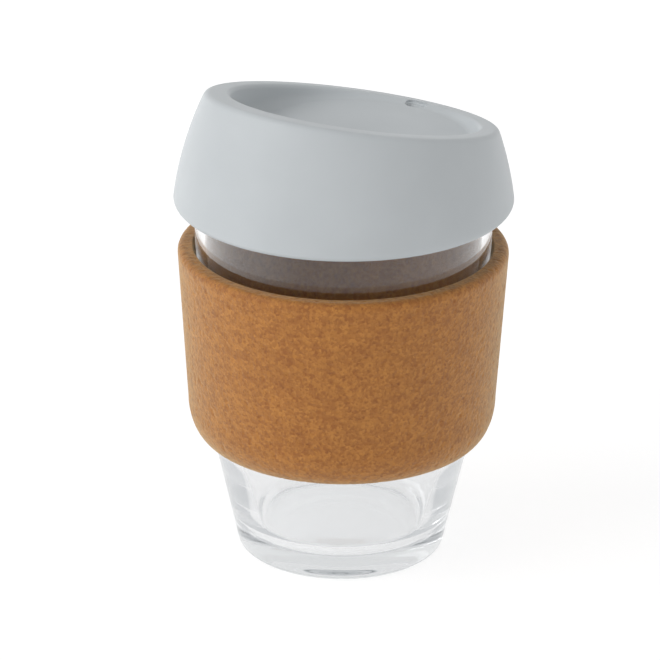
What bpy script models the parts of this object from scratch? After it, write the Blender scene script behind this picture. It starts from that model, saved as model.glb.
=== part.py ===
"""A glass travel cup with a cork sleeve and a push-on silicone lid.

The cup stands on the origin with +Z up, and the lid's low side, which carries the drinking slot,
faces +Y. Everything but the lid's sloping top is turned about the Z axis.
"""

from math import atan2, cos, exp, hypot, pi, radians, sin, sqrt, tan

import bmesh
import bpy

MM = 0.001
SEGMENTS = 56
GAP = 0.3  # what touching pieces keep between them

# Glass tumbler, in millimetres: corners of the wall's outline as (radius, height, rounding)
FOOT = (27.35, 0.0, 2.8)
FOOT_SLOPE = 0.2272
KNEE_HEIGHT = 34.0
SHOULDER = (39.35, 88.0, 80.0)
RIM_OUTER, RIM_HEIGHT = 39.8, 108.6
KNEE = (FOOT[0] + FOOT_SLOPE * KNEE_HEIGHT, KNEE_HEIGHT, 60.0)
GLASS_WALL, WALL_GAIN = 2.6, 0.8  # the wall grows thicker down to the knee, and again down to the floor
FLOOR_EDGE = (22.8, 6.0, 8.0)
PUNT_RADIUS, PUNT_DEPTH = 21.0, 0.5

# Cork sleeve
CORK_BOTTOM, CORK_TOP = 32.3, 86.15
CORK_TOP_OUTER, CORK_TOP_INNER = 44.15, 39.9
CORK_CROWN = 2.3  # the rounding of its top's outer edge
CORK_SLOPE = 0.066
CORK_TOE_DEPTH, CORK_TOE_HEIGHT = 6.0, 11.0

# Silicone lid
LID_BOTTOM, LID_WIDEST = 98.36, 44.93
LID_EDGE = 1.38
LID_TAPER, LID_CROWN = tan(radians(7.41)), 0.00585
TOP_ON_AXIS, TOP_TILT = 123.6, radians(13.36)
TOP_ROUNDING = 1.95
RECESS_RADIUS, RECESS_OFFSET = 33.1, 5.0
RECESS_FLOOR, RECESS_DRAFT = 114.2, 0.08
RECESS_LIP, RECESS_FOOT, RECESS_EASE = 1.3, 3.4, 3.0
LID_WALL, LID_FLOOR = 2.6, 2.6
PLUG_OUTER, PLUG_INNER, PLUG_BOTTOM = 36.35, 35.15, 101.4
RIB_HEIGHT, RIB_LEVELS = 0.45, (106.4, 103.6)
SLOT_LENGTH, SLOT_WIDTH, SLOT_RADIUS, SLOT_LEAN = 5.6, 2.3, 34.95, radians(34)
VENT_RADIUS, VENT_PLACE = 1.0, 20.0


def clear_scene():
    for thing in list(bpy.data.objects):
        bpy.data.objects.remove(thing, do_unlink=True)


def material(name, colour, roughness, transmission=0.0, ior=1.45):
    made = bpy.data.materials.new(name)
    made.use_nodes = True
    shader = made.node_tree.nodes["Principled BSDF"]
    shader.inputs["Base Color"].default_value = (*colour, 1.0)
    shader.inputs["Roughness"].default_value = roughness
    shader.inputs["Metallic"].default_value = 0.0
    shader.inputs["Transmission Weight"].default_value = transmission
    shader.inputs["IOR"].default_value = ior
    return made


# ---- outlines ---------------------------------------------------------------------------------


def arc(start, corner, end, radius, steps):
    """The points of a fillet of this radius where start-corner-end turns, with both tangent points."""
    into = (start[0] - corner[0], start[1] - corner[1])
    out = (end[0] - corner[0], end[1] - corner[1])
    long_in, long_out = hypot(*into), hypot(*out)
    into = (into[0] / long_in, into[1] / long_in)
    out = (out[0] / long_out, out[1] / long_out)
    half = 0.5 * (pi - atan2(abs(into[0] * out[1] - into[1] * out[0]), into[0] * out[0] + into[1] * out[1]))
    reach = min(radius * tan(half), 0.49 * long_in, 0.49 * long_out)
    size = reach / tan(half)
    middle = (into[0] + out[0], into[1] + out[1])
    to_centre = size / cos(half) / hypot(*middle)
    centre = (corner[0] + middle[0] * to_centre, corner[1] + middle[1] * to_centre)
    first = (corner[0] + into[0] * reach - centre[0], corner[1] + into[1] * reach - centre[1])
    last = (corner[0] + out[0] * reach - centre[0], corner[1] + out[1] * reach - centre[1])
    turn = atan2(first[0] * last[1] - first[1] * last[0], first[0] * last[0] + first[1] * last[1])
    points = []
    for step in range(steps + 1):
        angle = turn * step / steps
        points.append((
            centre[0] + first[0] * cos(angle) - first[1] * sin(angle),
            centre[1] + first[0] * sin(angle) + first[1] * cos(angle),
        ))
    return points


def rounded(corners, steps=4):
    """An outline through these corners, each (radius, height) or (radius, height, rounding)."""
    points = [corners[0][:2]]
    for before, here, after in zip(corners, corners[1:], corners[2:]):
        if len(here) == 3:
            points.extend(arc(before[:2], here[:2], after[:2], here[2], steps))
        else:
            points.append(here)
    points.append(corners[-1][:2])
    return points


def glass_outside():
    """The tumbler's outer wall, from the flat of its foot up to the start of its rounded rim."""
    return rounded([(PUNT_RADIUS + 0.8, 0.0), FOOT, KNEE, SHOULDER, (RIM_OUTER, RIM_HEIGHT - 1.3)])


def radius_at(outline, height):
    """The radius of a rising outline at this height."""
    for low, high in zip(outline, outline[1:]):
        if low[1] <= height <= high[1] and high[1] > low[1]:
            return low[0] + (high[0] - low[0]) * (height - low[1]) / (high[1] - low[1])
    return outline[-1][0]


def glass_inside():
    """The tumbler's inner wall, from the rim down to the floor's centre."""
    return rounded([
        (RIM_OUTER - GLASS_WALL, RIM_HEIGHT - 1.3),
        (SHOULDER[0] - GLASS_WALL, SHOULDER[1], SHOULDER[2]),
        (KNEE[0] - GLASS_WALL - WALL_GAIN, KNEE[1], KNEE[2]),
        FLOOR_EDGE,
        (0.0, FLOOR_EDGE[1]),
    ])


def glass_rim():
    """The half circle over the rim, between the outer and the inner wall."""
    half = GLASS_WALL / 2
    middle = RIM_OUTER - half
    return [(middle + half * cos(k * pi / 6), RIM_HEIGHT - 1.3 + half * sin(k * pi / 6)) for k in range(1, 6)]


def cork_outline():
    """The sleeve's closed section: its inside follows the glass, and its toe is a tall soft rounding."""
    glass = glass_outside()
    inside = []
    for height in (CORK_TOP - 2.0, 74.0, 60.0, 46.0, 38.0, CORK_BOTTOM + 0.8):
        inside.append((radius_at(glass, height) + GAP, height))
    top_of_toe = CORK_BOTTOM + CORK_TOE_HEIGHT
    wall_foot = CORK_TOP_OUTER - CORK_SLOPE * (CORK_TOP - top_of_toe)
    toe = []
    for step in range(7):
        angle = 0.5 * pi * step / 6
        toe.append((
            wall_foot - CORK_TOE_DEPTH * (1 - sin(angle)),
            CORK_BOTTOM + CORK_TOE_HEIGHT * (1 - cos(angle)),
        ))
    crown = rounded([
        (wall_foot, top_of_toe),
        (CORK_TOP_OUTER, CORK_TOP, CORK_CROWN),
        (CORK_TOP_INNER, CORK_TOP, 0.4),
        (inside[0][0] + 0.12, CORK_TOP - 1.0),
    ], steps=3)
    return toe[:-1] + crown + inside


# ---- the lid's section, which changes round the lid --------------------------------------------


def lid_wall(height):
    """The outer wall's radius: a taper that grows a little steeper towards the top."""
    rise = height - LID_BOTTOM - LID_EDGE
    return LID_WIDEST - LID_TAPER * rise - LID_CROWN * rise * rise


def top_plane(radius, around):
    """The height of the sloping top. around is 1 in the direction of the low side, -1 opposite."""
    return TOP_ON_AXIS - tan(TOP_TILT) * radius * around


def recess_edge(angle):
    """The radius, from the cup's axis, of the recess's edge: a circle in the tilted top, seen from above."""
    along = RECESS_RADIUS * cos(TOP_TILT)
    shift = RECESS_OFFSET * cos(TOP_TILT)
    a = (cos(angle) / RECESS_RADIUS) ** 2 + (sin(angle) / along) ** 2
    b = -2 * sin(angle) * shift / along**2
    c = (shift / along) ** 2 - 1
    return (-b + sqrt(b * b - 4 * a * c)) / (2 * a)


def outer_corner(around):
    """Where the outer wall meets the sloping top, by fixed point iteration."""
    radius = LID_WIDEST
    for _ in range(40):
        radius = 0.5 * radius + 0.5 * lid_wall(top_plane(radius, around))
    return radius, top_plane(radius, around)


def lid_outside(angle):
    """Half a section of the lid's outer face, from the recess's centre over the rim to the bottom edge."""
    around = sin(angle)
    edge = recess_edge(angle)
    edge_height = top_plane(edge, around)
    depth = edge_height - RECESS_FLOOR
    foot = edge - RECESS_DRAFT * depth - RECESS_EASE * exp(-depth / RECESS_EASE)
    corner = outer_corner(around)
    top = rounded([
        (0.4 * foot, RECESS_FLOOR),
        (foot, RECESS_FLOOR, RECESS_FOOT),
        (edge, edge_height, RECESS_LIP),
        (corner[0], corner[1], TOP_ROUNDING),
        (lid_wall(corner[1] - 8.0), corner[1] - 8.0),
    ])
    start = top[-2][1]
    wall_low = LID_BOTTOM + LID_EDGE
    wall = []
    for step in range(1, 5):
        height = start + (wall_low - start) * step / 4
        wall.append((lid_wall(height), height))
    edge_round = []
    for step in range(1, 4):
        turn = 0.5 * pi * step / 3
        edge_round.append((LID_WIDEST - LID_EDGE * (1 - cos(turn)), wall_low - LID_EDGE * sin(turn)))
    return top[:-1] + wall + edge_round


def lid_underside():
    """The section of the lid's turned underside: skirt, groove for the glass rim, ribbed plug, ceiling."""
    roof = RIM_HEIGHT + GAP
    skirt = [(lid_wall(h) - LID_WALL, h) for h in (LID_BOTTOM + 0.9, 103.5, roof - 0.9)]
    plug = [(PLUG_OUTER, roof)]
    for level in RIB_LEVELS:
        plug.append((PLUG_OUTER, level + 0.8))
        plug.append((PLUG_OUTER + RIB_HEIGHT, level))
        plug.append((PLUG_OUTER, level - 0.8))
    ceiling = RECESS_FLOOR - LID_FLOOR
    return (
        [(skirt[0][0] + 0.7, LID_BOTTOM)]
        + skirt
        + [(skirt[-1][0] - 0.6, roof)]
        + plug
        + [(PLUG_OUTER - 0.3, PLUG_BOTTOM), (PLUG_INNER + 0.2, PLUG_BOTTOM)]
        + rounded([(PLUG_INNER, PLUG_BOTTOM + 0.4), (PLUG_INNER, ceiling, 2.0), (14.0, ceiling)], steps=3)
    )


# ---- meshes ------------------------------------------------------------------------------------


def spun(outline, closed):
    """A turned body: the outline swept round the Z axis. An open outline starts and ends on the axis."""
    mesh = bmesh.new()
    points = [mesh.verts.new((r * MM, 0.0, z * MM)) for r, z in outline]
    pairs = list(zip(points, points[1:]))
    if closed:
        pairs.append((points[-1], points[0]))
    edges = [mesh.edges.new(pair) for pair in pairs]
    bmesh.ops.spin(
        mesh, geom=points + edges, cent=(0, 0, 0), axis=(0, 0, 1),
        angle=2 * pi, steps=SEGMENTS, use_merge=True, use_duplicate=False,
    )
    bmesh.ops.remove_doubles(mesh, verts=mesh.verts, dist=1e-6)
    return mesh


def lofted(section, count, closed_ends):
    """A body through the same number of points at each angle round Z, joined ring to ring."""
    mesh = bmesh.new()
    columns = []
    for angle in section["angles"]:
        points = section["points"](angle)
        columns.append([
            mesh.verts.new((r * MM * cos(angle), r * MM * sin(angle), z * MM)) for r, z in points
        ])
    turns = len(columns)
    last = turns - 1 if closed_ends else turns
    for k in range(last):
        here, there = columns[k], columns[(k + 1) % turns]
        rows = count if closed_ends else count - 1
        for j in range(rows):
            i = (j + 1) % count
            mesh.faces.new((here[j], here[i], there[i], there[j]))
    if closed_ends:
        mesh.faces.new(columns[0])
        mesh.faces.new(list(reversed(columns[-1])))
    else:
        top = mesh.verts.new((0, 0, section["points"](0)[0][1] * MM))
        bottom = mesh.verts.new((0, 0, section["points"](0)[-1][1] * MM))
        for k in range(turns):
            nxt = (k + 1) % turns
            mesh.faces.new((top, columns[k][0], columns[nxt][0]))
            mesh.faces.new((bottom, columns[nxt][-1], columns[k][-1]))
    return mesh


def finished(name, mesh, look=None, sharp=35):
    """An object with this mesh, its faces pointing out, shaded smooth except over sharp edges."""
    bmesh.ops.recalc_face_normals(mesh, faces=mesh.faces)
    data = bpy.data.meshes.new(name)
    mesh.to_mesh(data)
    mesh.free()
    data.shade_smooth()
    data.set_sharp_from_angle(angle=radians(sharp))
    if look:
        data.materials.append(look)
    made = bpy.data.objects.new(name, data)
    bpy.context.scene.collection.objects.link(made)
    return made


def cutter(name, mesh):
    made = finished(name, mesh)
    made.hide_render = True
    made.display_type = "WIRE"
    return made


def cut(target, tool):
    """Takes the tool's shape out of the target."""
    step = target.modifiers.new(tool.name, "BOOLEAN")
    step.operation = "DIFFERENCE"
    step.solver = "EXACT"
    step.object = tool


# ---- pieces ------------------------------------------------------------------------------------


def glass_tumbler():
    underside = [(0.0, PUNT_DEPTH)]
    for share in (0.0, 0.25, 0.5, 0.75, 0.95):
        radius = PUNT_RADIUS * (0.3 + 0.7 * share)
        underside.append((radius, PUNT_DEPTH * cos(0.5 * pi * share) ** 2))
    outline = underside + glass_outside() + glass_rim() + glass_inside()
    look = material("glass", (0.96, 0.98, 0.98), 0.02, transmission=1.0, ior=1.5)
    return finished("glass_tumbler", spun(outline, closed=False), look)


def cork_sleeve():
    look = material("cork", (0.42, 0.22, 0.09), 0.85)
    return finished("cork_sleeve", spun(cork_outline(), closed=True), look)


def rim_hollow():
    """The hollow under the high side of the lid's rim, between the recess's wall and the outer wall."""
    low, steps = RECESS_FLOOR - LID_FLOOR - 1.0, 24
    shelf = RIM_HEIGHT + GAP + LID_WALL
    half_width = radians(62)

    def points(angle):
        around = sin(angle)
        edge = recess_edge(angle)
        ceiling = top_plane(edge + LID_WALL, around) - LID_WALL - 0.6
        back = edge + LID_WALL + 0.2
        rows = []
        for height in (shelf, 0.5 * (shelf + ceiling), ceiling):
            rows.append((max(lid_wall(height) - LID_WALL, back + 0.6), height))
        foot = [(back - 1.2, low), (PLUG_INNER - 0.1, low), (PLUG_INNER - 0.1, shelf)]
        return foot + rows + [(back, ceiling)]

    angles = [-0.5 * pi + half_width * (2 * k / steps - 1) for k in range(steps + 1)]
    return cutter("rim_hollow", lofted({"angles": angles, "points": points}, 7, closed_ends=True))


def drinking_slot():
    """A rounded slot through the recess's floor on the low side, leaning out towards the rim."""
    mesh = bmesh.new()
    half, round_end, tall, turns = SLOT_LENGTH / 2, SLOT_WIDTH / 2, 8.0, 8
    rings = []
    for level in (-tall / 2, tall / 2):
        ring = []
        for side in (1, -1):
            for k in range(turns + 1):
                angle = side * 0.5 * pi - pi * k / turns
                x = side * (half - round_end) + round_end * cos(angle)
                y = round_end * sin(angle)
                ring.append(mesh.verts.new((x * MM, y * MM, level * MM)))
        rings.append(ring)
    count = len(rings[0])
    for k in range(count):
        nxt = (k + 1) % count
        mesh.faces.new((rings[0][k], rings[0][nxt], rings[1][nxt], rings[1][k]))
    mesh.faces.new(rings[0])
    mesh.faces.new(rings[1])
    tool = cutter("drinking_slot", mesh)
    tool.location = (0.0, SLOT_RADIUS * MM, (RECESS_FLOOR - 0.5 * LID_FLOOR) * MM)
    tool.rotation_euler = (-SLOT_LEAN, 0.0, 0.0)
    return tool


def vent_hole():
    mesh = bmesh.new()
    bmesh.ops.create_cone(
        mesh, cap_ends=True, segments=16, radius1=VENT_RADIUS * MM, radius2=VENT_RADIUS * MM, depth=8 * MM,
    )
    tool = cutter("vent_hole", mesh)
    tool.location = (0.0, -VENT_PLACE * MM, RECESS_FLOOR * MM)
    return tool


def silicone_lid():
    def points(angle):
        return lid_outside(angle) + lid_underside()

    angles = [2 * pi * k / SEGMENTS for k in range(SEGMENTS)]
    look = material("silicone", (0.53, 0.57, 0.59), 0.55)
    section = {"angles": angles, "points": points}
    lid = finished("silicone_lid", lofted(section, len(points(0.0)), closed_ends=False), look)
    for tool in (rim_hollow(), drinking_slot(), vent_hole()):
        cut(lid, tool)
    return lid


def main():
    clear_scene()
    glass_tumbler()
    cork_sleeve()
    silicone_lid()


main()
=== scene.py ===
"""The looks of a glass travel cup with a cork sleeve and a silicone lid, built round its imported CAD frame.

All three CAD solids are replaced by fine meshes of the same outlines: clear glass that refracts, ground
cork with its pits in the mesh, and a soft silicone lid with rounded edges. Some of the light is set by the
kind of ray it meets, to match the photograph, and isn't physical: see glass_material, floor_material and
studio.
"""

from math import atan2, cos, exp, hypot, pi, radians, sin, sqrt, tan

import bmesh
import bpy
import numpy as np
from mathutils import Matrix, Vector, noise


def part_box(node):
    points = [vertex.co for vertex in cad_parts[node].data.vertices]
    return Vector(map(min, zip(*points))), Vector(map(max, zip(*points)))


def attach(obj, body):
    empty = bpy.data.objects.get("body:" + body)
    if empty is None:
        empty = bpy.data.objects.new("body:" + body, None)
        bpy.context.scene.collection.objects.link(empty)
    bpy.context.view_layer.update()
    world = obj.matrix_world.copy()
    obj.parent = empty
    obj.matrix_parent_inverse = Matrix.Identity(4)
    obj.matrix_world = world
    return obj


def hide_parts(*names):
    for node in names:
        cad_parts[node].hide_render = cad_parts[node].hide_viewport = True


MM = 0.001
GAP = 0.3

# The photograph's view: azimuth, elevation and roll in degrees, distances in millimetres
VIEW_AZIMUTH, VIEW_ELEVATION, VIEW_ROLL = 32.5, 22.64, 0.48
VIEW_TARGET_HEIGHT, VIEW_DISTANCE, VIEW_LENS = 60.0, 1318.5, 269.6
VIEW_AIM_LEFT, VIEW_AIM_UP = 3.34, 1.10

# Glass tumbler, as in the CAD: corners of the outline as (radius, height, rounding) in millimetres
FOOT = (27.35, 0.0, 2.8)
FOOT_SLOPE = 0.2272
KNEE_HEIGHT = 34.0
SHOULDER = (39.35, 88.0, 80.0)
KNEE = (FOOT[0] + FOOT_SLOPE * KNEE_HEIGHT, KNEE_HEIGHT, 60.0)
GLASS_WALL, WALL_GAIN = 2.6, 0.8
FLOOR_EDGE = (22.8, 6.0, 8.0)
PUNT_RADIUS, PUNT_DEPTH = 21.0, 0.5

# Cork sleeve
CORK_TOP_INNER, CORK_CROWN = 39.9, 2.3
CORK_SLOPE = 0.066
CORK_TOE_DEPTH, CORK_TOE_HEIGHT = 6.0, 11.0
CORK_PIT, CORK_ROUGH = 0.45, 0.05  # the deepest pit and the unevenness, in millimetres

# Silicone lid
LID_EDGE = 1.38
LID_TAPER, LID_CROWN = tan(radians(7.41)), 0.00585
TOP_ON_AXIS, TOP_TILT = 123.6, radians(13.36)
TOP_ROUNDING = 1.95
RECESS_RADIUS, RECESS_OFFSET = 33.1, 5.0
RECESS_FLOOR, RECESS_DRAFT = 114.2, 0.08
RECESS_LIP, RECESS_FOOT, RECESS_EASE = 1.3, 3.4, 3.0
LID_WALL, LID_FLOOR = 2.6, 2.6
PLUG_OUTER, PLUG_INNER, PLUG_BOTTOM = 36.35, 35.15, 101.4
RIB_HEIGHT, RIB_LEVELS = 0.45, (106.4, 103.6)
SLOT_LENGTH, SLOT_WIDTH, SLOT_RADIUS, SLOT_LEAN = 5.6, 2.3, 34.95, radians(34)
VENT_RADIUS, VENT_PLACE = 1.0, 20.0
HOLE_FLARE = 0.5  # the rounding of the slot's and the vent's mouths
HOLLOW_HALF_TURN = radians(62)  # how far the hollow under the rim reaches to each side of the high point

# Cork granules, each layer: size in millimetres, darkest and lightest colour, and how much each layer covers
CORK_LAYERS = (
    (0.75, (0.26, 0.077, 0.010), (0.51, 0.211, 0.037), 1.0),
    (1.7, (0.315, 0.105, 0.015), (0.47, 0.191, 0.034), 0.45),
)
# Cork shading: noise scale per metre, the ramp's two stops, and what the colour is multiplied by at each
CORK_SHADES = (
    (1500, 0.30, 0.46, (0.68, 0.61, 0.55), (1.0, 1.0, 1.0)),
    (110, 0.34, 0.66, (0.95, 0.935, 0.92), (1.04, 1.04, 1.04)),
)

# Glass: its tint, its tint for light on its way to other pieces, and what it absorbs on the way through
GLASS_TINT, GLASS_SHADOW_TINT = (0.918, 0.921, 0.925, 1), (0.9, 0.92, 0.92, 1)
GLASS_DEPTH_TINT, GLASS_DENSITY = (0.885, 0.893, 0.897, 1), 40.0
GLASS_BOUNCES = 6  # light that has met more surfaces than this inside the glass arrives as a soft grey
GLASS_DEEP_GREY = (0.86, 0.865, 0.875, 1)
NEVER = 100  # more surfaces than any ray meets

# Silicone: the two ends of its faint clouding
SILICONE_DARK, SILICONE_LIGHT = (0.515, 0.545, 0.562, 1), (0.545, 0.575, 0.592, 1)

# Light, as radiance: the floor's own glow, seen and as a lamp, and the room overhead and at the horizon
FLOOR_WHITE, FLOOR_GLOW, FLOOR_DIFFUSE_GLOW = 0.33, 0.81, 0.56
FLOOR_LEFT_GLOW, FLOOR_RIGHT_GLOW = 1.8, 1.2
GLOW_STARTS, GLOW_FULL = 0.10, 0.24  # metres to either side of the cup
ROOM_SEEN, ROOM_HORIZON, ROOM_ZENITH = 1.0, 0.80, 0.36
KEY_AZIMUTH, KEY_ELEVATION, KEY_STRENGTH, KEY_ANGLE = VIEW_AZIMUTH - 70, 34, 1.32, 50

GLASS_SEGMENTS, LID_SEGMENTS, CORK_SEGMENTS = 256, 240, 560
FINE = 10  # steps in each rounding


# ---- outlines ---------------------------------------------------------------------------------


def arc(start, corner, end, radius, steps):
    """The points of a fillet of this radius where start-corner-end turns, with both tangent points."""
    into = Vector((start[0] - corner[0], start[1] - corner[1]))
    out = Vector((end[0] - corner[0], end[1] - corner[1]))
    long_in, long_out = into.length, out.length
    into.normalize()
    out.normalize()
    half = 0.5 * (pi - into.angle(out))
    reach = min(radius * tan(half), 0.49 * long_in, 0.49 * long_out)
    middle = (into + out).normalized()
    centre = Vector(corner[:2]) + middle * (reach / tan(half) / cos(half))
    first = Vector(corner[:2]) + into * reach - centre
    last = Vector(corner[:2]) + out * reach - centre
    turn = atan2(first.x * last.y - first.y * last.x, first.dot(last))
    points = []
    for step in range(steps + 1):
        spoke = Matrix.Rotation(turn * step / steps, 2) @ first
        points.append((centre.x + spoke.x, centre.y + spoke.y))
    return points


def rounded(corners, steps=FINE):
    """An outline through these corners, each (radius, height) or (radius, height, rounding)."""
    points = [corners[0][:2]]
    for before, here, after in zip(corners, corners[1:], corners[2:]):
        if len(here) == 3:
            points.extend(arc(before[:2], here[:2], after[:2], here[2], steps))
        else:
            points.append(here)
    points.append(corners[-1][:2])
    return points


def refined(outline, longest):
    """The same outline with every stretch longer than this cut into equal parts."""
    points = [outline[0]]
    for (r0, z0), (r1, z1) in zip(outline, outline[1:]):
        parts = max(1, round(hypot(r1 - r0, z1 - z0) / longest))
        for k in range(1, parts + 1):
            points.append((r0 + (r1 - r0) * k / parts, z0 + (z1 - z0) * k / parts))
    return points


def radius_at(outline, height):
    """The radius of a rising outline at this height."""
    for low, high in zip(outline, outline[1:]):
        if low[1] <= height <= high[1] and high[1] > low[1]:
            return low[0] + (high[0] - low[0]) * (height - low[1]) / (high[1] - low[1])
    return outline[-1][0]


class Sizes:
    """What the frame says about where each CAD node lies, in millimetres."""

    def __init__(self):
        glass, cork, lid = (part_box(node) for node in ("glass_tumbler", "cork_sleeve", "silicone_lid"))
        self.rim_outer, self.rim_height = glass[1].x / MM, glass[1].z / MM
        self.cork_bottom, self.cork_top, self.cork_outer = cork[0].z / MM, cork[1].z / MM, cork[1].x / MM
        self.lid_bottom, self.lid_widest = lid[0].z / MM, lid[1].x / MM
        self.cork_inside = [(r + GAP, z) for r, z in glass_outside(self)]


# ---- glass ------------------------------------------------------------------------------------


def glass_outside(at):
    """The tumbler's outer wall, from the flat of its foot up to the start of its rounded rim."""
    rim = (at.rim_outer, at.rim_height - 0.5 * GLASS_WALL)
    return rounded([(PUNT_RADIUS + 0.8, 0.0), FOOT, KNEE, SHOULDER, rim])


def glass_outline(at):
    """The whole section, from the underside's centre, up the outside, over the rim and down the inside."""
    half = 0.5 * GLASS_WALL
    turn = at.rim_height - half
    punt = [(0.0, PUNT_DEPTH)]
    for step in range(24):
        share = step / 24
        punt.append((PUNT_RADIUS * (0.3 + 0.7 * share), PUNT_DEPTH * cos(0.5 * pi * share) ** 2))
    punt.append((PUNT_RADIUS + 0.8, 0.0))
    over = []
    for k in range(1, 2 * FINE):
        angle = pi * k / (2 * FINE)
        over.append((at.rim_outer - half + half * cos(angle), turn + half * sin(angle)))
    inside = rounded([
        (at.rim_outer - GLASS_WALL, turn),
        (SHOULDER[0] - GLASS_WALL, SHOULDER[1], SHOULDER[2]),
        (KNEE[0] - GLASS_WALL - WALL_GAIN, KNEE[1], KNEE[2]),
        FLOOR_EDGE,
        (0.0, FLOOR_EDGE[1]),
    ])
    return punt[:-1] + glass_outside(at) + over + inside


# ---- cork -------------------------------------------------------------------------------------


def cork_outline(at):
    """The sleeve's closed section: its inside follows the glass, and its toe is a tall soft rounding."""
    glass = glass_outside(at)
    bottom, top = at.cork_bottom, at.cork_top
    inside = []
    for k in range(17):
        height = top - 2.0 + (bottom + 0.8 - top + 2.0) * k / 16
        inside.append((radius_at(glass, height) + GAP, height))
    top_of_toe = bottom + CORK_TOE_HEIGHT
    wall_foot = at.cork_outer - CORK_SLOPE * (top - top_of_toe)
    toe = []
    for step in range(3 * FINE):
        angle = 0.5 * pi * step / (3 * FINE)
        radius = wall_foot - CORK_TOE_DEPTH * (1 - sin(angle))
        toe.append((radius, bottom + CORK_TOE_HEIGHT * (1 - cos(angle))))
    crown = rounded([
        (wall_foot, top_of_toe),
        (at.cork_outer, top, CORK_CROWN),
        (CORK_TOP_INNER, top, 0.4),
        (inside[0][0] + 0.12, top - 1.0),
    ], steps=5)
    return toe + crown + inside


# ---- lid --------------------------------------------------------------------------------------


def lid_wall(at, height):
    """The outer wall's radius: a taper that grows a little steeper towards the top."""
    rise = height - at.lid_bottom - LID_EDGE
    return at.lid_widest - LID_TAPER * rise - LID_CROWN * rise * rise


def top_plane(radius, around):
    """The height of the sloping top. around is 1 in the direction of the low side, -1 opposite."""
    return TOP_ON_AXIS - tan(TOP_TILT) * radius * around


def recess_edge(angle):
    """The radius, from the cup's axis, of the recess's edge: a circle in the tilted top, seen from above."""
    along = RECESS_RADIUS * cos(TOP_TILT)
    shift = RECESS_OFFSET * cos(TOP_TILT)
    a = (cos(angle) / RECESS_RADIUS) ** 2 + (sin(angle) / along) ** 2
    b = -2 * sin(angle) * shift / along**2
    c = (shift / along) ** 2 - 1
    return (-b + sqrt(b * b - 4 * a * c)) / (2 * a)


def outer_corner(at, around):
    """Where the outer wall meets the sloping top, by fixed point iteration."""
    radius = at.lid_widest
    for _ in range(40):
        radius = 0.5 * radius + 0.5 * lid_wall(at, top_plane(radius, around))
    return radius, top_plane(radius, around)


def lid_outside(at, angle):
    """Half a section of the lid's outer face, from the recess's centre over the rim to the bottom edge."""
    around = sin(angle)
    edge = recess_edge(angle)
    edge_height = top_plane(edge, around)
    depth = edge_height - RECESS_FLOOR
    foot = edge - RECESS_DRAFT * depth - RECESS_EASE * exp(-depth / RECESS_EASE)
    corner = outer_corner(at, around)
    floor = [(foot * share, RECESS_FLOOR) for share in (0.05, 0.2, 0.4, 0.6, 0.75)]
    top = rounded([
        (0.8 * foot, RECESS_FLOOR),
        (foot, RECESS_FLOOR, RECESS_FOOT),
        (edge, edge_height, RECESS_LIP),
        (corner[0], corner[1], TOP_ROUNDING),
        (lid_wall(at, corner[1] - 6.0), corner[1] - 6.0),
    ])
    start = top[-2][1]
    wall_low = at.lid_bottom + LID_EDGE
    wall = []
    for step in range(1, 21):
        height = start + (wall_low - start) * step / 20
        wall.append((lid_wall(at, height), height))
    edge_round = []
    for step in range(1, 9):
        turn = 0.5 * pi * step / 8
        edge_round.append((at.lid_widest - LID_EDGE * (1 - cos(turn)), wall_low - LID_EDGE * sin(turn)))
    return floor + top[:-1] + wall + edge_round


def lid_underside(at):
    """The lid's turned underside: skirt, groove for the glass rim, ribbed plug, and the ceiling."""
    roof = at.rim_height + GAP
    bottom = at.lid_bottom
    skirt_low = lid_wall(at, bottom + 0.9) - LID_WALL
    skirt = rounded([
        (skirt_low + 0.9, bottom),
        (skirt_low, bottom, 0.6),
        (lid_wall(at, 103.5) - LID_WALL, 103.5, 30.0),
        (lid_wall(at, roof - 0.5) - LID_WALL, roof, 0.8),
        (PLUG_OUTER, roof, 0.5),
        (PLUG_OUTER, RIB_LEVELS[0] + 1.0),
    ], steps=5)
    ribs = []
    for level in RIB_LEVELS:
        for k in range(9):
            share = k / 8
            ribs.append((PLUG_OUTER + RIB_HEIGHT * sin(pi * share) ** 2, level + 0.8 - 1.6 * share))
    ceiling = RECESS_FLOOR - LID_FLOOR
    plug = rounded([
        (PLUG_OUTER, RIB_LEVELS[1] - 1.0),
        (PLUG_OUTER - 0.1, PLUG_BOTTOM, 0.6),
        (PLUG_INNER, PLUG_BOTTOM, 0.6),
        (PLUG_INNER, ceiling, 2.0),
        (20.0, ceiling),
    ], steps=6)
    return skirt + ribs + plug + [(10.0, ceiling), (2.0, ceiling)]


# ---- mesh tools -------------------------------------------------------------------------------


def shown(name, mesh, look, sharp=32):
    """An object with this bmesh, its faces pointing out, shaded smooth except over sharp edges."""
    bmesh.ops.recalc_face_normals(mesh, faces=mesh.faces)
    data = bpy.data.meshes.new(name)
    mesh.to_mesh(data)
    mesh.free()
    data.shade_smooth()
    data.set_sharp_from_angle(angle=radians(sharp))
    if look:
        data.materials.append(look)
    made = bpy.data.objects.new(name, data)
    bpy.context.scene.collection.objects.link(made)
    return made


def joined(columns, closed):
    """A mesh through columns of (radius, height) points, one column per angle round Z."""
    mesh = bmesh.new()
    turns = len(columns)
    rings = []
    for k, column in enumerate(columns):
        angle = 2 * pi * k / turns
        rings.append([mesh.verts.new((r * MM * cos(angle), r * MM * sin(angle), z * MM)) for r, z in column])
    count = len(rings[0])
    for k in range(turns):
        here, there = rings[k], rings[(k + 1) % turns]
        for j in range(count if closed else count - 1):
            i = (j + 1) % count
            mesh.faces.new((here[j], here[i], there[i], there[j]))
    if not closed:
        for row, height in ((0, columns[0][0][1]), (-1, columns[0][-1][1])):
            pole = mesh.verts.new((0, 0, height * MM))
            for k in range(turns):
                mesh.faces.new((pole, rings[k][row], rings[(k + 1) % turns][row]))
    return mesh


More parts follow.
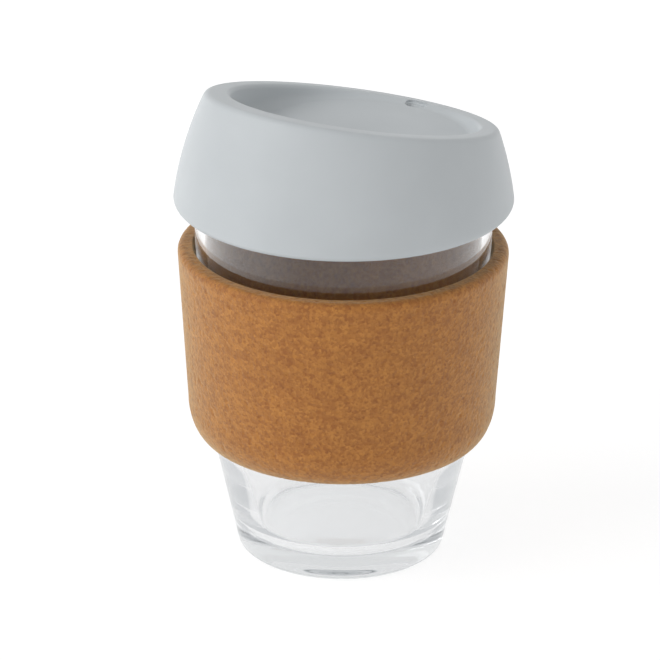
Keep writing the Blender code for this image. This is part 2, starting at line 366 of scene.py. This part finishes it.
def cut(target, tools):
    """Takes the tools' shapes out of the target, for good."""
    for tool in tools:
        step = target.modifiers.new(tool.name, "BOOLEAN")
        step.operation = "DIFFERENCE"
        step.solver = "EXACT"
        step.object = tool
    depsgraph = bpy.context.evaluated_depsgraph_get()
    data = bpy.data.meshes.new_from_object(target.evaluated_get(depsgraph))
    target.modifiers.clear()
    target.data = data
    for tool in tools:
        bpy.data.objects.remove(tool)


def stadium(length, width, turns):
    """The points of a slot with round ends, long along X."""
    half, end = length / 2, width / 2
    points = []
    for side in (1, -1):
        for k in range(turns + 1):
            angle = side * 0.5 * pi - pi * k / turns
            points.append((side * (half - end) + end * cos(angle), end * sin(angle)))
    return points


def stacked(levels):
    """A closed mesh through these (outline, height) levels, each outline having as many points."""
    mesh = bmesh.new()
    rings = [[mesh.verts.new((x * MM, y * MM, z * MM)) for x, y in outline] for outline, z in levels]
    for low, high in zip(rings, rings[1:]):
        for k in range(len(low)):
            nxt = (k + 1) % len(low)
            mesh.faces.new((low[k], low[nxt], high[nxt], high[k]))
    mesh.faces.new(rings[0])
    mesh.faces.new(rings[-1])
    return mesh


# ---- materials --------------------------------------------------------------------------------


def node_material(name):
    made = bpy.data.materials.new(name)
    made.use_nodes = True
    return made, made.node_tree.nodes, made.node_tree.links, made.node_tree.nodes["Principled BSDF"]


def glass_material():
    """Clear glass, which lets lamps through. Its deepest light paths are cut short and turn a soft grey, as
    they would come out nearly black here. A path with a diffuse bounce in it is never cut."""
    made, nodes, links, shader = node_material("clear_glass")
    shader.inputs["Base Color"].default_value = GLASS_TINT
    shader.inputs["Roughness"].default_value = 0.0
    shader.inputs["IOR"].default_value = 1.5
    shader.inputs["Transmission Weight"].default_value = 1.0
    through = nodes.new("ShaderNodeBsdfTransparent")
    through.inputs["Color"].default_value = GLASS_SHADOW_TINT
    path = nodes.new("ShaderNodeLightPath")
    mix = nodes.new("ShaderNodeMixShader")
    links.new(path.outputs["Is Shadow Ray"], mix.inputs[0])
    links.new(shader.outputs[0], mix.inputs[1])
    links.new(through.outputs[0], mix.inputs[2])
    limit = nodes.new("ShaderNodeMath")
    limit.operation = "MULTIPLY_ADD"
    limit.inputs[1].default_value = NEVER
    limit.inputs[2].default_value = GLASS_BOUNCES + 0.5
    far = nodes.new("ShaderNodeMath")
    far.operation = "GREATER_THAN"
    soft = nodes.new("ShaderNodeEmission")
    soft.inputs["Color"].default_value = GLASS_DEEP_GREY
    last = nodes.new("ShaderNodeMixShader")
    links.new(path.outputs["Diffuse Depth"], limit.inputs[0])
    links.new(path.outputs["Ray Depth"], far.inputs[0])
    links.new(limit.outputs["Value"], far.inputs[1])
    links.new(far.outputs["Value"], last.inputs[0])
    links.new(mix.outputs[0], last.inputs[1])
    links.new(soft.outputs[0], last.inputs[2])
    links.new(last.outputs[0], nodes["Material Output"].inputs["Surface"])
    depth = nodes.new("ShaderNodeVolumeAbsorption")
    depth.inputs["Color"].default_value = GLASS_DEPTH_TINT
    depth.inputs["Density"].default_value = GLASS_DENSITY
    links.new(depth.outputs["Volume"], nodes["Material Output"].inputs["Volume"])
    return made


def silicone_material():
    made, nodes, links, shader = node_material("silicone")
    place = nodes.new("ShaderNodeTexCoord")
    clouds = nodes.new("ShaderNodeTexNoise")
    clouds.inputs["Scale"].default_value = 45
    clouds.inputs["Detail"].default_value = 3
    tone = nodes.new("ShaderNodeValToRGB")
    tone.color_ramp.elements[0].position = 0.3
    tone.color_ramp.elements[0].color = SILICONE_DARK
    tone.color_ramp.elements[1].position = 0.7
    tone.color_ramp.elements[1].color = SILICONE_LIGHT
    grain = nodes.new("ShaderNodeTexNoise")
    grain.inputs["Scale"].default_value = 5200
    grain.inputs["Detail"].default_value = 2
    bump = nodes.new("ShaderNodeBump")
    bump.inputs["Strength"].default_value = 0.12
    bump.inputs["Distance"].default_value = 0.00006
    links.new(place.outputs["Object"], clouds.inputs["Vector"])
    links.new(place.outputs["Object"], grain.inputs["Vector"])
    links.new(clouds.outputs["Fac"], tone.inputs["Fac"])
    links.new(tone.outputs["Color"], shader.inputs["Base Color"])
    links.new(grain.outputs["Fac"], bump.inputs["Height"])
    links.new(bump.outputs["Normal"], shader.inputs["Normal"])
    shader.inputs["Roughness"].default_value = 0.52
    shader.inputs["IOR"].default_value = 1.41
    shader.inputs["Subsurface Weight"].default_value = 0.12
    shader.inputs["Subsurface Radius"].default_value = (1.0, 1.0, 1.0)
    shader.inputs["Subsurface Scale"].default_value = 0.002
    return made


def cork_material():
    """Ground cork: fine granules in two sizes, dark flecks of bark, and a slow mottle over all."""
    made, nodes, links, shader = node_material("ground_cork")
    place = nodes.new("ShaderNodeTexCoord")
    colour = None
    for size, dark, light, factor in CORK_LAYERS:
        granules = nodes.new("ShaderNodeTexVoronoi")
        granules.inputs["Scale"].default_value = 1000 / size
        granules.inputs["Randomness"].default_value = 1.0
        pick = nodes.new("ShaderNodeSeparateColor")
        tone = nodes.new("ShaderNodeValToRGB")
        tone.color_ramp.elements[0].color = (*dark, 1)
        tone.color_ramp.elements[1].color = (*light, 1)
        links.new(place.outputs["Object"], granules.inputs["Vector"])
        links.new(granules.outputs["Color"], pick.inputs["Color"])
        links.new(pick.outputs["Red"], tone.inputs["Fac"])
        if colour is None:
            colour = tone.outputs["Color"]
            relief = granules.outputs["Distance"]
            continue
        mix = nodes.new("ShaderNodeMix")
        mix.data_type = "RGBA"
        mix.inputs["Factor"].default_value = factor
        links.new(colour, mix.inputs["A"])
        links.new(tone.outputs["Color"], mix.inputs["B"])
        colour = mix.outputs["Result"]
    for scale, low, high, dark, light in CORK_SHADES:
        clouds = nodes.new("ShaderNodeTexNoise")
        clouds.inputs["Scale"].default_value = scale
        clouds.inputs["Detail"].default_value = 5
        clouds.inputs["Roughness"].default_value = 0.6
        shade = nodes.new("ShaderNodeValToRGB")
        shade.color_ramp.elements[0].position = low
        shade.color_ramp.elements[0].color = (*dark, 1)
        shade.color_ramp.elements[1].position = high
        shade.color_ramp.elements[1].color = (*light, 1)
        mix = nodes.new("ShaderNodeMix")
        mix.data_type = "RGBA"
        mix.blend_type = "MULTIPLY"
        mix.inputs["Factor"].default_value = 1.0
        links.new(place.outputs["Object"], clouds.inputs["Vector"])
        links.new(clouds.outputs["Fac"], shade.inputs["Fac"])
        links.new(colour, mix.inputs["A"])
        links.new(shade.outputs["Color"], mix.inputs["B"])
        colour = mix.outputs["Result"]
    links.new(colour, shader.inputs["Base Color"])
    bump = nodes.new("ShaderNodeBump")
    bump.inputs["Strength"].default_value = 0.4
    bump.inputs["Distance"].default_value = 0.0002
    links.new(relief, bump.inputs["Height"])
    links.new(bump.outputs["Normal"], shader.inputs["Normal"])
    shader.inputs["Roughness"].default_value = 0.62
    shader.inputs["Specular IOR Level"].default_value = 0.38
    shader.inputs["Sheen Weight"].default_value = 0.5
    shader.inputs["Sheen Tint"].default_value = (1.0, 0.93, 0.62, 1)
    shader.inputs["Sheen Roughness"].default_value = 0.5
    return made


def floor_material():
    """White paper, blown out by its own light. It glows more to both sides of the view, where only mirrors
    see it. Seen through glass it glows evenly, or the glass would vanish, and it is dimmer as a lamp."""
    made, nodes, links, shader = node_material("white_floor")
    shader.inputs["Base Color"].default_value = (FLOOR_WHITE, FLOOR_WHITE, FLOOR_WHITE, 1)
    shader.inputs["Roughness"].default_value = 1.0
    shader.inputs["Specular IOR Level"].default_value = 0.0
    shader.inputs["Emission Color"].default_value = (1, 1, 1, 1)
    place = nodes.new("ShaderNodeTexCoord")
    turned = nodes.new("ShaderNodeMapping")
    turned.inputs["Rotation"].default_value = (0, 0, -radians(VIEW_AZIMUTH))
    apart = nodes.new("ShaderNodeSeparateXYZ")
    glows = []
    for side, far in ((-1, FLOOR_LEFT_GLOW), (1, FLOOR_RIGHT_GLOW)):
        glow = nodes.new("ShaderNodeMapRange")
        glow.interpolation_type = "SMOOTHSTEP"
        glow.inputs["From Min"].default_value = side * GLOW_STARTS
        glow.inputs["From Max"].default_value = side * GLOW_FULL
        glow.inputs["To Min"].default_value = 0.5 * FLOOR_GLOW
        glow.inputs["To Max"].default_value = far - 0.5 * FLOOR_GLOW
        links.new(apart.outputs["X"], glow.inputs["Value"])
        glows.append(glow)
    both = nodes.new("ShaderNodeMath")
    path = nodes.new("ShaderNodeLightPath")
    through = nodes.new("ShaderNodeMix")
    through.inputs["B"].default_value = FLOOR_GLOW
    dimmed = nodes.new("ShaderNodeMix")
    dimmed.inputs["B"].default_value = FLOOR_DIFFUSE_GLOW
    links.new(place.outputs["Object"], turned.inputs["Vector"])
    links.new(turned.outputs["Vector"], apart.inputs["Vector"])
    links.new(glows[0].outputs["Result"], both.inputs[0])
    links.new(glows[1].outputs["Result"], both.inputs[1])
    links.new(path.outputs["Is Diffuse Ray"], dimmed.inputs["Factor"])
    links.new(path.outputs["Is Transmission Ray"], through.inputs["Factor"])
    links.new(both.outputs["Value"], through.inputs["A"])
    links.new(through.outputs["Result"], dimmed.inputs["A"])
    links.new(dimmed.outputs["Result"], shader.inputs["Emission Strength"])
    return made


# ---- pieces -----------------------------------------------------------------------------------


def glass_piece(at):
    outline = refined(glass_outline(at), 2.5)[1:-1]
    mesh = joined([outline] * GLASS_SEGMENTS, closed=False)
    piece = shown("glass_cup", mesh, glass_material())
    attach(piece, "tumbler")
    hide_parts("glass_tumbler")


def grained(mesh, at):
    """Presses small pits and a fine unevenness into the sleeve's outside, inwards only."""
    mesh.normal_update()
    moves = []
    for vert in mesh.verts:
        radius = hypot(vert.co.x, vert.co.y) / MM
        height = vert.co.z / MM
        if radius < radius_at(at.cork_inside, height) + 0.8:
            continue  # the inside stays smooth
        place = vert.co / MM
        pits = max(0.0, noise.noise(place * 0.85) - 0.18)
        rough = 0.5 + 0.5 * noise.noise(place * 1.9 + Vector((7.0, 3.0, 5.0)))
        moves.append((vert, vert.normal * (CORK_PIT * pits + CORK_ROUGH * max(0.0, rough))))
    for vert, move in moves:
        vert.co -= move * MM


def cork_piece(at):
    outline = refined(cork_outline(at) + cork_outline(at)[:1], 0.5)[:-1]
    mesh = joined([outline] * CORK_SEGMENTS, closed=True)
    bmesh.ops.recalc_face_normals(mesh, faces=mesh.faces)
    grained(mesh, at)
    piece = shown("cork_band", mesh, cork_material(), sharp=60)
    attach(piece, "sleeve")
    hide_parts("cork_sleeve")


def rim_hollow(at):
    """The hollow under the high side of the lid's rim, between the recess's wall and the outer wall."""
    low, steps = RECESS_FLOOR - LID_FLOOR - 1.0, 60
    shelf = at.rim_height + GAP + LID_WALL
    mesh = bmesh.new()
    columns = []
    for k in range(steps + 1):
        angle = -0.5 * pi + HOLLOW_HALF_TURN * (2 * k / steps - 1)
        edge = recess_edge(angle)
        ceiling = top_plane(edge + LID_WALL, sin(angle)) - LID_WALL - 0.6
        back = edge + LID_WALL + 0.2
        points = [(back - 1.2, low), (PLUG_INNER - 0.1, low), (PLUG_INNER - 0.1, shelf)]
        for share in (0.0, 0.25, 0.5, 0.75, 1.0):
            height = shelf + (ceiling - shelf) * share
            points.append((max(lid_wall(at, height) - LID_WALL, back + 0.6), height))
        points.append((back, ceiling))
        across, up = MM * cos(angle), MM * sin(angle)
        columns.append([mesh.verts.new((r * across, r * up, z * MM)) for r, z in points])
    for here, there in zip(columns, columns[1:]):
        for j in range(len(here)):
            i = (j + 1) % len(here)
            mesh.faces.new((here[j], here[i], there[i], there[j]))
    mesh.faces.new(columns[0])
    mesh.faces.new(columns[-1])
    return shown("rim_hollow", mesh, None)


def drinking_slot():
    """The slot through the recess's floor on the low side, leaning out towards the rim."""
    outline = stadium(SLOT_LENGTH, SLOT_WIDTH, 16)
    tool = shown("drinking_slot", stacked([(outline, -4.0), (outline, 4.0)]), None)
    tool.location = (0.0, SLOT_RADIUS * MM, (RECESS_FLOOR - 0.5 * LID_FLOOR) * MM)
    tool.rotation_euler = (-SLOT_LEAN, 0.0, 0.0)
    return tool


def hole_flare(name, length, width, x, y):
    """The rounded mouth of a hole in the recess's floor."""
    levels = []
    for k in range(7):
        angle = 0.5 * pi * k / 6
        grow = 2 * HOLE_FLARE * (1 - cos(angle))
        levels.append((stadium(length + grow, width + grow, 16), HOLE_FLARE * sin(angle) - HOLE_FLARE))
    levels.append((levels[-1][0], 1.0))
    tool = shown(name, stacked(levels), None)
    tool.location = (x * MM, y * MM, RECESS_FLOOR * MM)
    return tool


def lid_piece(at):
    under = lid_underside(at)
    columns = [lid_outside(at, 2 * pi * k / LID_SEGMENTS) + under for k in range(LID_SEGMENTS)]
    piece = shown("lid", joined(columns, closed=False), silicone_material())
    mouth = SLOT_RADIUS + 0.5 * LID_FLOOR * tan(SLOT_LEAN)
    vent_width = 2 * VENT_RADIUS
    vent_length = vent_width + 0.002  # a stadium needs some length
    vent_outline = stadium(vent_length, vent_width, 12)
    vent = shown("vent", stacked([(vent_outline, -6.0), (vent_outline, 2.0)]), None)
    vent.location = (0.0, -VENT_PLACE * MM, RECESS_FLOOR * MM)
    tools = [
        rim_hollow(at),
        drinking_slot(),
        hole_flare("slot_mouth", SLOT_LENGTH, SLOT_WIDTH / cos(SLOT_LEAN), 0.0, mouth),
        vent,
        hole_flare("vent_mouth", vent_length, vent_width, 0.0, -VENT_PLACE),
    ]
    cut(piece, tools)
    piece.data.shade_smooth()
    piece.data.set_sharp_from_angle(angle=radians(32))
    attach(piece, "lid")
    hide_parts("silicone_lid")


# ---- stage ------------------------------------------------------------------------------------


def camera():
    """The photograph's view: a long lens a little above the cup."""
    a, e = radians(VIEW_AZIMUTH), radians(VIEW_ELEVATION)
    back = Vector((sin(a) * cos(e), -cos(a) * cos(e), sin(e)))
    turn = (-back).to_track_quat("-Z", "Y").to_matrix().to_4x4()
    right, up = turn.col[0].to_3d(), turn.col[1].to_3d()
    shift = (up * VIEW_AIM_UP - right * VIEW_AIM_LEFT) * MM
    target = Vector((0, 0, VIEW_TARGET_HEIGHT * MM))
    data = bpy.data.cameras.new("camera")
    data.lens = VIEW_LENS
    data.clip_start, data.clip_end = 0.05, 20.0
    made = bpy.data.objects.new("camera", data)
    place = target + back * VIEW_DISTANCE * MM
    aim = (target + shift - place).normalized()
    turn = aim.to_track_quat("-Z", "Y").to_matrix().to_4x4()
    made.matrix_world = Matrix.Translation(place) @ turn @ Matrix.Rotation(radians(VIEW_ROLL), 4, "Z")
    bpy.context.scene.collection.objects.link(made)
    bpy.context.scene.camera = made


def sun(name, azimuth, elevation, strength, softness):
    """A soft distant light. Azimuth is where it shines from, counted like the camera's."""
    a, e = radians(azimuth), radians(elevation)
    from_there = Vector((sin(a) * cos(e), -cos(a) * cos(e), sin(e)))
    data = bpy.data.lights.new(name, "SUN")
    data.energy = strength
    data.angle = radians(softness)
    made = bpy.data.objects.new(name, data)
    made.rotation_mode = "QUATERNION"
    made.rotation_quaternion = (-from_there).to_track_quat("-Z", "Y")
    bpy.context.scene.collection.objects.link(made)


def studio():
    """A white room: even where it is seen or mirrored, dimmer and lower as a light, with one soft key."""
    world = bpy.data.worlds.new("studio")
    world.use_nodes = True
    nodes, links = world.node_tree.nodes, world.node_tree.links
    place = nodes.new("ShaderNodeTexCoord")
    apart = nodes.new("ShaderNodeSeparateXYZ")
    fall = nodes.new("ShaderNodeMapRange")
    fall.inputs["To Min"].default_value = ROOM_HORIZON
    fall.inputs["To Max"].default_value = ROOM_ZENITH
    path = nodes.new("ShaderNodeLightPath")
    strength = nodes.new("ShaderNodeMix")
    strength.inputs["A"].default_value = ROOM_SEEN
    links.new(place.outputs["Generated"], apart.inputs["Vector"])
    links.new(apart.outputs["Z"], fall.inputs["Value"])
    links.new(path.outputs["Is Diffuse Ray"], strength.inputs["Factor"])
    links.new(fall.outputs["Result"], strength.inputs["B"])
    links.new(strength.outputs["Result"], nodes["Background"].inputs["Strength"])
    nodes["Background"].inputs["Color"].default_value = (1, 1, 1, 1)
    bpy.context.scene.world = world
    sun("key", KEY_AZIMUTH, KEY_ELEVATION, KEY_STRENGTH, KEY_ANGLE)
    mesh = bmesh.new()
    bmesh.ops.create_circle(mesh, cap_ends=True, segments=96, radius=12.0)
    floor = shown("floor", mesh, floor_material())
    floor.location.z = -0.0001
    scene = bpy.context.scene
    scene.view_settings.view_transform = "Standard"
    scene.cycles.max_bounces = 40
    scene.cycles.glossy_bounces = 32
    scene.cycles.transmission_bounces = 32


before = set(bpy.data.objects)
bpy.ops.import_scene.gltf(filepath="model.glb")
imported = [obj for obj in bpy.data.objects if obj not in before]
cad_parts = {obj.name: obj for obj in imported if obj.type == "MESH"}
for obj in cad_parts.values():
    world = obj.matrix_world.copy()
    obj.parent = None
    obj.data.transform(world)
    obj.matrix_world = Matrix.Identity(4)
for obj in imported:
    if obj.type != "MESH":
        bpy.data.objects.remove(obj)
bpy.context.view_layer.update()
camera()
studio()
sizes = Sizes()
glass_piece(sizes)
cork_piece(sizes)
lid_piece(sizes)
